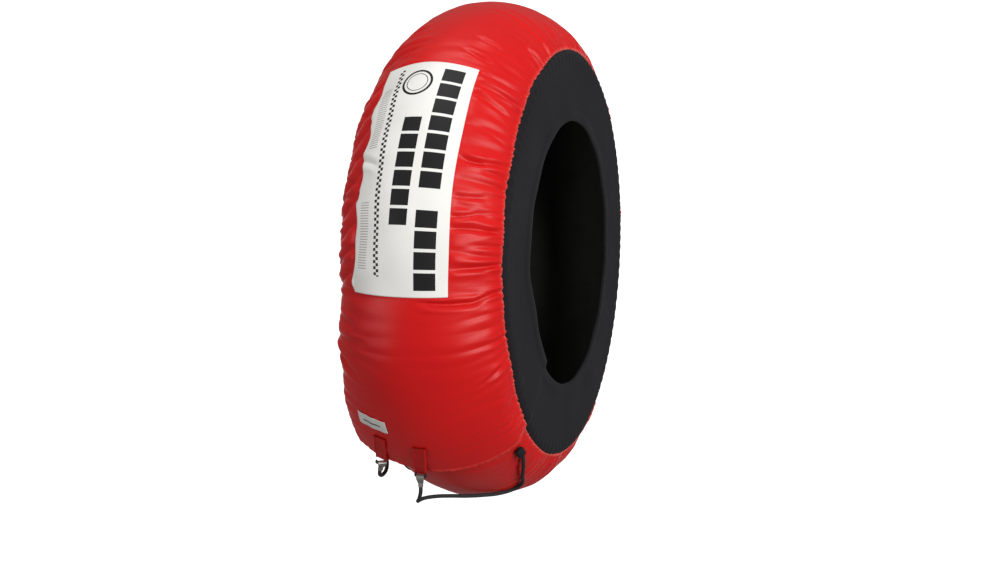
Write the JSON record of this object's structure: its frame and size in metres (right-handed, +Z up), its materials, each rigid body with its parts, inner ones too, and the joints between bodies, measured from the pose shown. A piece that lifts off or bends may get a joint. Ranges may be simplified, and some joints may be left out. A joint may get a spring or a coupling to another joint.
{
  "type": "motorcycle tire warmer",
  "caption": "Padded red heating blanket that wraps round a motorcycle tyre, with dark stretch side panels, a flap closure and bungee hooks.",
  "frame": {"origin": "centre of the wheel that the warmer wraps, on its axle and midway across the tread", "axes": "+X along the axle towards the right-hand side panel, -Y towards the label and the flap at the front, +Z up"},
  "size_m": [0.2295, 0.6578, 0.6564],
  "materials": {
    "cover": "red woven nylon with a soft sheen",
    "panel": "matt foam rubber with a knitted face",
    "label": "off-white coated cloth, printed",
    "binding": "red hem tape, stitched",
    "elastic": "black braided elastic",
    "hook": "dull grey metal",
    "strip": "black hook-and-loop tape",
    "insulation": "pale felt padding",
    "element": "grey silicone sheath",
    "liner": "dark heat-resistant cloth",
    "switch_case": "dark moulded case",
    "splice": "crimped sleeve",
    "lead": "pale silicone insulation",
    "gland": "moulded flexible black"
  },
  "bodies": {
    "root": {"outer_cover": "cover", "side_panel_right": "panel", "side_panel_left": "panel", "front_label": "label", "small_label": "label", "insulation": "insulation", "inner_liner": "liner", "heating_element": "element", "flap_hem": "binding", "tuck_hem": "binding", "loop_strip": "strip", "hook_strip": "strip", "flap_tab_right": "cover", "tab_loop_right": "elastic", "hook_right": "hook", "flap_tab_left": "cover", "tab_loop_left": "elastic", "hook_left": "hook", "bungee_anchor_right": "elastic", "bungee_anchor_left": "elastic", "bungee_right": "elastic", "bungee_left": "elastic", "lead_gland": "gland", "heat_switch": "switch_case", "heat_cutout": "switch_case", "element_splice": "splice", "return_splice": "splice", "supply_lead": "lead", "return_lead": "lead", "link_lead": "lead", "cutout_lead": "lead"}
  },
  "joints": []
}
